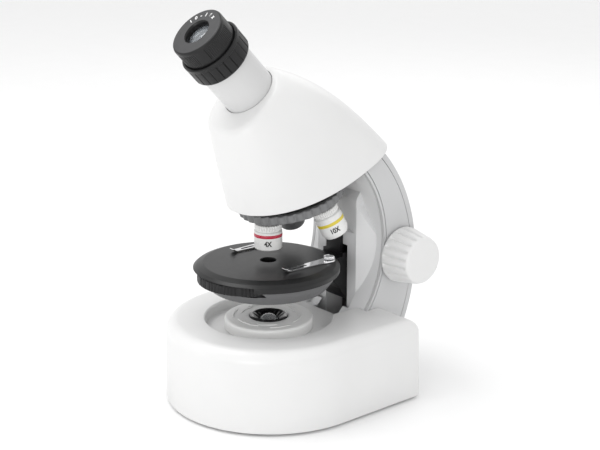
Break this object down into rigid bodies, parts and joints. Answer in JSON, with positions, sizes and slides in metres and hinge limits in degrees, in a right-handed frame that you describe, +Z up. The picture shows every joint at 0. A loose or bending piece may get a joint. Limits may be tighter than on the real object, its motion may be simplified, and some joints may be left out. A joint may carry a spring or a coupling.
{
  "type": "microscope",
  "caption": "Small upright teaching microscope: lit D-shaped base, crescent arm, focusing round stage with clips, tilted turning nosepiece, and an inclined tube with a zoom eyepiece",
  "frame": {"origin": "middle of the whole box in X and Y, on the surface it stands on", "axes": "+Z up; the user sits on the -Y side and looks down the tube; the focus knob is on the +X side"},
  "size_m": [0.132, 0.1606, 0.2417],
  "materials": {
    "white_shell": "satin white moulded plastic",
    "rubber_foot": "matt black rubber",
    "battery_can": "printed steel can",
    "spring_steel": "bright spring steel",
    "steel_screw": "plated steel",
    "circuit_board": "green laminate",
    "lens_glass": "clear polished",
    "black_plastic": "fine matt black",
    "eyepiece_black": "satin black, ribbed grips",
    "grey_shell": "satin pale grey moulded plastic",
    "objective_body": "satin pale barrel with a coloured ring",
    "brass_gear": "machined brass",
    "charcoal_plastic": "fine-textured charcoal",
    "chrome_clip": "bright plated"
  },
  "bodies": {
    "body": {"base_shell": "white_shell", "base_plate": "white_shell", "battery_door": "white_shell", "lamp_cap": "white_shell", "head_cover": "white_shell", "foot_front_left": "rubber_foot", "foot_front_right": "rubber_foot", "foot_rear_left": "rubber_foot", "foot_rear_right": "rubber_foot", "battery_1": "battery_can", "battery_2": "battery_can", "battery_contact_left": "spring_steel", "battery_contact_right": "spring_steel", "detent_spring": "spring_steel", "battery_door_screw": "steel_screw", "arm_screw_left": "steel_screw", "arm_screw_right": "steel_screw", "nosepiece_pivot": "steel_screw", "led_board": "circuit_board", "led": "lens_glass", "lamp_lens": "lens_glass", "prism": "lens_glass", "field_lens": "lens_glass", "lamp_bezel": "black_plastic", "head_base": "black_plastic", "prism_housing": "black_plastic", "eyepiece_barrel": "black_plastic", "arm_frame": "grey_shell", "side_panel_right": "grey_shell", "side_panel_left": "grey_shell", "back_cover": "grey_shell", "eyepiece_tube": "grey_shell", "shaft_cap_left": "grey_shell", "shaft_bush_right": "brass_gear", "shaft_bush_left": "brass_gear"},
    "stage": {"stage_plate": "charcoal_plastic", "stage_bowl": "charcoal_plastic", "stage_carriage": "black_plastic", "rack": "brass_gear", "wheel_screw": "steel_screw", "clip_screw_left": "chrome_clip", "clip_screw_right": "chrome_clip"},
    "focus": {"focus_shaft": "steel_screw", "pinion": "brass_gear", "focus_knob_right": "white_shell"},
    "turret": {"nosepiece": "charcoal_plastic", "objective_4x": "objective_body", "objective_10x": "objective_body", "objective_40x": "charcoal_plastic", "front_lens_4x": "lens_glass", "front_lens_10x": "lens_glass", "front_lens_40x": "lens_glass"},
    "wheel": {"filter_wheel": "black_plastic"},
    "clip_left": {"stage_clip_left": "chrome_clip"},
    "clip_right": {"stage_clip_right": "chrome_clip"},
    "zoom": {"zoom_ring": "eyepiece_black"},
    "cup": {"eyecup": "eyepiece_black", "eye_lens": "lens_glass"},
    "rocker": {"power_switch": "black_plastic"}
  },
  "joints": [
    {"name": "stage_slide", "type": "slide", "parent": "body", "child": "stage", "axis": [0, 0, 1], "range_m": [-0.0145, 0.0005]},
    {"name": "focus_turn", "type": "hinge", "parent": "body", "child": "focus", "pos_m": [0, 0.0625, 0.0832], "axis": [1, 0, 0], "range_deg": [-5.8, 166.2]},
    {"name": "nosepiece_turn", "type": "hinge", "parent": "body", "child": "turret", "pos_m": [0, 0.0021, 0.1181], "axis": [0, -0.2588, 0.9659], "continuous": true},
    {"name": "filter_wheel_turn", "type": "hinge", "parent": "stage", "child": "wheel", "pos_m": [0, -0.0308, 0.0805], "axis": [0, 0, 1], "continuous": true},
    {"name": "clip_left_swing", "type": "hinge", "parent": "stage", "child": "clip_left", "pos_m": [-0.0254, 0.0099, 0.0881], "axis": [0, 0, 1], "range_deg": [-30, 30]},
    {"name": "clip_right_swing", "type": "hinge", "parent": "stage", "child": "clip_right", "pos_m": [0.0254, 0.0099, 0.0881], "axis": [0, 0, 1], "range_deg": [-30, 30]},
    {"name": "eyecup_slide", "type": "slide", "parent": "body", "child": "cup", "axis": [0, -0.6884, 0.7254], "range_m": [-0.0035, 0.0035]},
    {"name": "zoom_turn", "type": "hinge", "parent": "body", "child": "zoom", "pos_m": [0, -0.0142, 0.1756], "axis": [0, -0.6884, 0.7254], "range_deg": [-60.1, 60.1]},
    {"name": "power_switch_rock", "type": "hinge", "parent": "body", "child": "rocker", "pos_m": [-0.053, 0.0477, 0.0275], "axis": [1, 0, 0], "range_deg": [0, 12]}
  ],
  "couplings": [
    {"joint": "focus_turn", "follows": "stage_slide", "rad_per_m": -200},
    {"joint": "zoom_turn", "follows": "eyecup_slide", "rad_per_m": 299.2}
  ]
}
